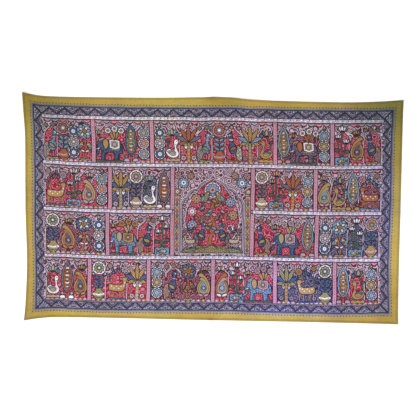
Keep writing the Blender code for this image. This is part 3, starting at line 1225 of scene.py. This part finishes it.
def triangulate(loops, looks, rings, step):
    """Triangles along what shows of the loops, each with the loop that covers it.

    Loops that later ones hide are only in the first pass. The rings are kept in full.
    """
    starts = np.cumsum([0] + [len(loop) for loop in loops])
    edges = np.vstack([ring_edges(start, len(loop)) for start, loop in zip(starts, loops)])
    points, tris, _ = constrained(np.vstack(loops), edges)
    cover = covers(loops, points[tris].mean(axis=1))
    seen = seen_edges(tris, looks[cover])
    used, seen = np.unique(seen, return_inverse=True)
    ring_points = np.vstack(rings)
    starts = np.cumsum([0] + [len(ring) for ring in rings])
    edges = [ring_edges(start, len(ring)) for start, ring in zip(starts, rings)]
    edges.append(seen.reshape(-1, 2) + len(ring_points))
    extra = spare_points(step, points[used])
    points, tris, went = constrained(np.vstack([ring_points, points[used], extra]), np.vstack(edges))
    cover = covers(loops, points[tris].mean(axis=1))
    return points, tris, cover, went[: len(rings[0])]


def dye_and_painted_shade(points):
    """How much lighter or darker the dye has taken at these places, with painted shade darkening the corners
    and along the crease.
    """
    colour = np.ones((len(points), 3))
    for x, y, reach, *shares in DYE_AND_SHADE_PATCHES:
        near = np.exp(-((points[:, 0] - x) ** 2 + (points[:, 1] - y) ** 2) / reach**2)
        colour *= 1 + near[:, None] * (np.array(shares) ** 2.2 - 1)
    return colour


def hand_wobble(points):
    """The slight waver of lines drawn by hand, in millimetres."""
    x, y = points[:, 0], points[:, 1]
    return np.stack(
        [
            1.6 * np.sin(y / 83 + 0.6) + 0.55 * np.sin(y / 17 + x / 61) + 0.3 * np.sin(x / 7.1 + y / 9.3),
            1.8 * np.sin(x / 117 + 1.1) + 0.60 * np.sin(x / 19 + y / 47) + 0.3 * np.sin(x / 8.3 - y / 6.7),
        ],
        axis=-1,
    )


def painted_places(points):
    """Where the hand put these points of the plan, on a cloth that has since been pulled."""
    moved = points + hand_wobble(points)
    middling = np.clip(1 - (2 * points[:, 1] * MM / CUT_HEIGHT) ** 2, 0.0, 1.0)
    moved[:, 1] += ROW_TILT * points[:, 0] * middling
    for middle_x, middle_y, across, up, reach_x, reach_y in STRAYS:
        away = (points - (middle_x, middle_y)) / (reach_x, reach_y)
        near = np.exp(-np.sum(away**2, axis=1))
        moved += near[:, None] * (across, up)
    return moved


def surface_points(points, top):
    """The painted side, or the underside, at these places of the cut cloth, and its normals."""
    x, y = points[:, 0] * MM, points[:, 1] * MM

    def height(x, y):
        return lift(x, y) + thickness(x, y) if top else lift(x, y, UNDERSIDE_WRINKLES)

    near = 0.4 * MM
    slope_x = (height(x + near, y) - height(x - near, y)) / (2 * near)
    slope_y = (height(x, y + near) - height(x, y - near)) / (2 * near)
    normals = np.column_stack([-slope_x, -slope_y, np.ones_like(x)])
    normals /= np.linalg.norm(normals, axis=1, keepdims=True)
    places = np.column_stack([laid_places(x, y), height(x, y)])
    return places, normals if top else -normals


def rim_triangles(top_ring, under_ring, edge_ring):
    """Four triangles to each step: two up to the painted side and two down to the underside."""
    faces = []
    for i in range(len(edge_ring)):
        j = (i + 1) % len(edge_ring)
        p, q = edge_ring[i], edge_ring[j]
        faces += [(top_ring[i], p, q), (top_ring[i], q, top_ring[j])]
        faces += [(p, under_ring[i], under_ring[j]), (p, under_ring[j], q)]
    return faces


def edge_surface(points):
    """The middle of the rim at these places of the cut edge, and its normals."""
    places, _ = surface_points(points, False)
    places[:, 2] += HEM_THICKNESS / 2
    outward = places - places.mean(axis=0)
    outward[:, 2] = 0
    return places, outward / np.linalg.norm(outward, axis=1, keepdims=True)


def build_cloth():
    """The sheet: its painted side, its underside and the rim between them, as one closed mesh."""
    painting = Painting()
    paint_panel(painting)
    rings = [dense_loop(inset) for inset in EDGE_LINES]
    hem_loops, drawn = painting.loops[:len(rings)], painting.loops[len(rings):]
    loops = hem_loops + [painted_places(loop) for loop in drawn]
    dyes, pens = np.array(painting.dyes), np.array(painting.pens)
    _, looks = np.unique(np.hstack([dyes, pens]).round(6), axis=0, return_inverse=True)
    large = np.flatnonzero(painting.large)
    top_points, top_faces, top_cover, top_rim = triangulate(loops, looks, rings, GRID_STEP)
    under_points, under_faces, under_cover, under_rim = triangulate(
        [loops[i] for i in large], looks[large], rings[:1], UNDERSIDE_STEP
    )
    edge_points = dense_loop(0.0)
    surfaces = (
        surface_points(top_points, True),
        surface_points(under_points, False),
        edge_surface(edge_points),
    )
    places, normals = (np.vstack(parts) for parts in zip(*surfaces))
    under_start = len(top_points)
    edge_start = under_start + len(under_points)
    edge_ring = edge_start + np.arange(len(edge_points))
    rim_faces = rim_triangles(top_rim, under_rim + under_start, edge_ring)
    faces = np.vstack([top_faces, under_faces[:, ::-1] + under_start, rim_faces])

    bleed = dye_colour("mustard") * (1 - BLEED) + dyes[large][under_cover] * BLEED
    # the rim in the hem's colour, partly painted shade along the edge
    hem = np.tile(dye_colour("hem"), (len(rim_faces), 1))
    bare = np.tile(PENWORK["bare"], (len(bleed) + len(hem), 1))
    flat = np.vstack([top_points, under_points, edge_points])
    corners = faces.reshape(-1)
    colours = np.ones((len(corners), 4))
    colours[:, :3] = np.repeat(np.vstack([dyes[top_cover], bleed, hem]), 3, axis=0)
    # uneven dye, with painted shade at the corners and along the crease
    colours[:, :3] *= dye_and_painted_shade(flat[corners])

    mesh = bpy.data.meshes.new("kalamkari_cloth")
    mesh.from_pydata(places, [], faces)
    write_colours(mesh, "dye", colours)
    write_colours(mesh, "penwork", np.repeat(np.vstack([pens[top_cover], bare]), 3, axis=0))
    mesh.shade_smooth()
    mesh.normals_split_custom_set_from_vertices(normals)
    lay_out_uvs(mesh, flat, corners, edge_start, 3 * len(top_faces), 3 * len(rim_faces))
    mesh.materials.append(cloth_material())
    return add_object("painted_cloth", mesh)


def build_stitches():
    """The running stitches that hold the hem down, as one joined mesh."""
    corners = inset_rectangle(STITCH_INSET)
    end, shoulder, side = STITCH_LENGTH / 2, STITCH_LENGTH / 3, STITCH_WIDTH / 2
    outline = [(-end, 0), (-shoulder, -side), (shoulder, -side)]
    outline += [(end, 0), (shoulder, side), (-shoulder, side)]
    ridge = [(-shoulder * 0.8, 0), (shoulder * 0.8, 0)]
    shape = np.array(outline + ridge)
    rises = np.array([-STITCH_RISE] * len(outline) + [STITCH_RISE] * len(ridge)) * MM
    sides = [(0, 1, 6), (1, 2, 7, 6), (2, 3, 7), (3, 4, 7), (4, 5, 6, 7), (5, 0, 6), (5, 4, 3, 2, 1, 0)]
    flat, faces = [], []
    for start, stop in zip(corners, np.roll(corners, -1, axis=0)):
        length = np.linalg.norm(stop - start)
        along = (stop - start) / length
        aside = np.array([-along[1], along[0]])
        for i in range(int(length / STITCH_PITCH)):
            slip, drift = rng.uniform(-0.7, 0.7), rng.uniform(-0.4, 0.4)
            middle = start + along * (STITCH_PITCH * (i + 0.5) + slip) + aside * drift
            faces += [tuple(len(flat) * len(shape) + k for k in face) for face in sides]
            flat.append(middle + shape[:, :1] * along + shape[:, 1:] * aside)
    places, normals = surface_points(np.vstack(flat), True)
    places += normals * np.tile(rises, len(flat))[:, None]
    mesh = bpy.data.meshes.new("hem_stitches")
    mesh.from_pydata(places, [], faces)
    mesh.materials.append(thread_material())
    return add_object("hem_stitches", mesh)


def add_object(name, data):
    """A new object, in the scene."""
    made = bpy.data.objects.new(name, data)
    bpy.context.scene.collection.objects.link(made)
    return made


def write_colours(mesh, name, colours):
    layer = mesh.color_attributes.new(name, "FLOAT_COLOR", "CORNER")
    layer.data.foreach_set("color", np.clip(colours, 0, 1).astype(np.float32).ravel())


def lay_out_uvs(mesh, flat, corners, edge_start, top_corners, rim_corners):
    """The painted side over the upper part of the map, and the underside smaller below it.

    Each half of the rim is a narrow band round the side that it joins.
    """
    number = np.arange(len(corners))
    into_rim = number - (len(corners) - rim_corners)
    on_top = (number < top_corners) | ((into_rim >= 0) & (into_rim % 12 < 6))
    shares = flat[corners] * MM / (CUT_WIDTH, CUT_HEIGHT)
    outwards = np.where(np.abs(shares) > 0.49999, np.sign(shares), 0.0)
    band = UV_BAND * outwards * (corners >= edge_start)[:, None]
    size = np.where(on_top, *UV_WIDTHS)[:, None] * (1.0, CUT_HEIGHT / CUT_WIDTH)
    start = np.column_stack([np.full(len(corners), UV_EDGE), np.where(on_top, *UV_BOTTOMS)])
    layer = mesh.uv_layers.new(name="OFBake")
    places = start + (shares + 0.5) * size + band
    layer.data.foreach_set("uv", places.astype(np.float32).ravel())


# Materials

class Nodes:
    """A new material and its nodes, placed by the piece's own coordinates."""

    def __init__(self, name):
        self.material = bpy.data.materials.new(name)
        self.material.use_nodes = True
        self.tree = self.material.node_tree
        self.shader = self.tree.nodes["Principled BSDF"]
        self.where = self.add("ShaderNodeTexCoord").outputs["Object"]

    def set(self, node, inputs):
        """Sets a node's inputs, by number or name, to values or to other nodes' outputs."""
        for name, value in inputs.items():
            if isinstance(value, bpy.types.NodeSocket):
                self.tree.links.new(value, node.inputs[name])
            else:
                node.inputs[name].default_value = value

    def add(self, kind, inputs=None, **properties):
        """A new node with its properties and inputs."""
        node = self.tree.nodes.new(kind)
        for name, value in properties.items():
            setattr(node, name, value)
        self.set(node, inputs or {})
        return node

    def noise(self, scale, detail=2.0, roughness=0.5, where=None):
        inputs = {"Vector": where or self.where, "Scale": scale, "Detail": detail, "Roughness": roughness}
        return self.add("ShaderNodeTexNoise", inputs).outputs["Fac"]

    def cells(self, scale, randomness, feature="F1"):
        """The distances in a pattern of uneven cells."""
        inputs = {"Vector": self.where, "Scale": scale, "Randomness": randomness}
        return self.add("ShaderNodeTexVoronoi", inputs, feature=feature).outputs["Distance"]

    def bands(self, direction, scale, distortion, detail=2.0, detail_scale=1.0):
        """Wavy bands that follow one another in this direction."""
        inputs = {"Vector": self.where, "Scale": scale, "Distortion": distortion}
        inputs.update({"Detail": detail, "Detail Scale": detail_scale})
        return self.add("ShaderNodeTexWave", inputs, bands_direction=direction).outputs["Fac"]

    def between(self, value, low, high, to_low, to_high):
        """The value's range carried onto another."""
        inputs = {"Value": value, "From Min": low, "From Max": high, "To Min": to_low, "To Max": to_high}
        return self.add("ShaderNodeMapRange", inputs).outputs["Result"]

    def math(self, operation, first, second):
        return self.add("ShaderNodeMath", {0: first, 1: second}, operation=operation).outputs["Value"]

    def marks(self, pattern, ranges, drawn):
        """A pattern's marks, as strong as the penwork has them here."""
        return self.math("MULTIPLY", self.between(pattern, *ranges), drawn)

    def mix(self, blend, share, first, second):
        """Two colours mixed. The node's inputs 6 and 7 and its output 2 are the colours."""
        inputs = {0: share, 6: first, 7: second}
        return self.add("ShaderNodeMix", inputs, data_type="RGBA", blend_type=blend).outputs[2]

    def bump(self, strength, distance, height):
        inputs = {"Strength": strength, "Distance": distance, "Height": height}
        return self.add("ShaderNodeBump", inputs).outputs["Normal"]


def cloth_material():
    """Hand-painted cotton: the dyes, the pen's fine work, mottled dye, slubs, weave and sheen."""
    n = Nodes("painted_cotton")
    dye = n.add("ShaderNodeAttribute", attribute_name="dye").outputs["Color"]
    penwork = n.add("ShaderNodeAttribute", attribute_name="penwork").outputs
    kinds = n.add("ShaderNodeSeparateColor", {"Color": penwork["Color"]}).outputs
    hatching = n.bands("DIAGONAL", 62.0, 2.2, 1.0, 0.5)
    hatch = n.marks(hatching, (0.72, 0.9, 0.0, 0.62), kinds["Red"])
    dots = n.marks(n.cells(165.0, 0.55), (0.16, 0.24, 0.5, 0.0), kinds["Green"])
    net = n.marks(n.cells(125.0, 0.7, "DISTANCE_TO_EDGE"), (0.08, 0.17, 0.75, 0.0), kinds["Blue"])
    waver = n.math("MULTIPLY", n.noise(30.0), RING_WAVER)
    reach = n.math("ADD", n.cells(42.0, 0.9), waver)
    wave = n.math("SINE", n.math("MULTIPLY", reach, RING_LINES), 0.0)
    ring_ink = n.marks(wave, (0.25, 0.5, 0.0, 0.92), penwork["Alpha"])
    ring_pale = n.marks(wave, (-0.75, -0.6, 0.8, 0.0), penwork["Alpha"])

    ink, halo, pale = ((*dye_colour(name), 1.0) for name in ("ink", "halo", "pink"))
    colour = dye
    for share, mark in ((ring_ink, ink), (ring_pale, halo), (hatch, ink), (net, ink), (dots, pale)):
        colour = n.mix("MIX", share, colour, mark)

    stretched = n.add("ShaderNodeVectorMath", {0: n.where, 1: STREAKS}, operation="MULTIPLY")
    streak = n.between(n.noise(1.0, 3.0, where=stretched.outputs["Vector"]), 0.3, 0.7, 0.0, 1.0)
    colour = n.mix("MULTIPLY", 1.0, colour, n.mix("MIX", streak, BROWNER, GREENER))
    broad = n.between(n.noise(9.0, 3.0), 0.3, 0.7, 0.86, 1.1)
    close = n.between(n.noise(120.0, 3.0, 0.6), 0.25, 0.75, 0.86, 1.12)
    mottle = n.math("MULTIPLY", broad, close)
    warp, weft = (
        n.bands(direction, math.pi / (10 * pitch), 1.2, 1.0, 0.6)
        for direction, pitch in (("X", WARP_PITCH), ("Y", WEFT_PITCH))
    )
    weave = n.math("MULTIPLY", warp, weft)
    shade = n.math("MULTIPLY", mottle, n.between(weave, 0.0, 1.0, 0.9, 1.06))
    grey = n.add("ShaderNodeCombineColor", {"Red": shade, "Green": shade, "Blue": shade})
    pucker = n.math("MULTIPLY", n.noise(45.0, 3.0), 3.0)
    n.set(n.shader, {
        "Base Color": n.mix("MULTIPLY", 1.0, colour, grey.outputs["Color"]),
        "Roughness": n.between(n.noise(60.0), 0.2, 0.8, 0.8, 0.95),
        "Specular IOR Level": 0.25,
        "Sheen Weight": 0.12,
        "Sheen Roughness": 0.5,
        "Normal": n.bump(0.5, 0.00035, n.math("ADD", weave, pucker)),
    })
    return n.material


def thread_material():
    """Cotton thread: uneven colour and the twist of its strands."""
    n = Nodes("hem_thread")
    share = n.between(n.noise(STRAND_SCALE), 0.3, 0.7, 0.0, 1.0)
    dark, light = ((*dye_colour(name), 1.0) for name in ("hem", "tan"))
    n.set(n.shader, {
        "Base Color": n.mix("MIX", share, dark, light),
        "Roughness": 0.8,
        "Normal": n.bump(0.4, 0.0001, n.bands("DIAGONAL", STRAND_SCALE, 0.5)),
    })
    return n.material


def floor_material():
    material = bpy.data.materials.new("pale_floor")
    material.use_nodes = True
    shader = material.node_tree.nodes["Principled BSDF"]
    shader.inputs["Base Color"].default_value = (0.9, 0.9, 0.9, 1.0)
    shader.inputs["Roughness"].default_value = 1.0
    shader.inputs["Specular IOR Level"].default_value = 0.0
    shader.inputs["Emission Color"].default_value = (1.0, 1.0, 1.0, 1.0)
    shader.inputs["Emission Strength"].default_value = 0.3
    return material


# The studio

def build_floor():
    bpy.ops.mesh.primitive_plane_add(size=FLOOR_SIZE, location=(0, 0, -FLOOR_DROP))
    floor = bpy.context.object
    floor.name = "floor"
    floor.data.materials.append(floor_material())


def build_camera():
    """Straight above the cloth, with the cloth's middle at its place in the photo."""
    width = PICTURE_PIXELS * PIXEL_SIZE
    distance = width * CAMERA_LENS / SENSOR
    x = (PICTURE_PIXELS / 2 - PHOTO_MIDDLE[0]) * PIXEL_SIZE
    y = (PHOTO_MIDDLE[1] - PICTURE_PIXELS / 2) * PIXEL_SIZE
    data = bpy.data.cameras.new("camera")
    data.lens = CAMERA_LENS
    data.sensor_width = SENSOR
    camera = add_object("camera", data)
    camera.location = (x, y, distance)
    bpy.context.scene.camera = camera


def add_light(name, location, size, power):
    """A round soft light, turned to the cloth's middle."""
    data = bpy.data.lights.new(name, "AREA")
    data.shape = "DISK"
    data.size = size
    data.energy = power
    light = add_object(name, data)
    light.location = location
    light.rotation_euler = (-Vector(location)).to_track_quat("-Z", "Y").to_euler()


def build_light():
    add_light("key", (-1.1, -1.6, 2.6), 1.6, 62)
    add_light("fill", (1.6, 0.9, 2.8), 2.4, 26)
    world = bpy.data.worlds.new("studio")
    world.use_nodes = True
    background = world.node_tree.nodes["Background"]
    background.inputs["Color"].default_value = (1.0, 1.0, 1.0, 1.0)
    background.inputs["Strength"].default_value = 0.45
    bpy.context.scene.world = world
    bpy.context.scene.view_settings.view_transform = "Standard"


def main():
    build_camera()
    build_floor()
    build_light()
    cloth, stitches = build_cloth(), build_stitches()
    for piece in (cloth, stitches):
        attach(piece, "root")
        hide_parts("cloth")
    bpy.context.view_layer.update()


main()
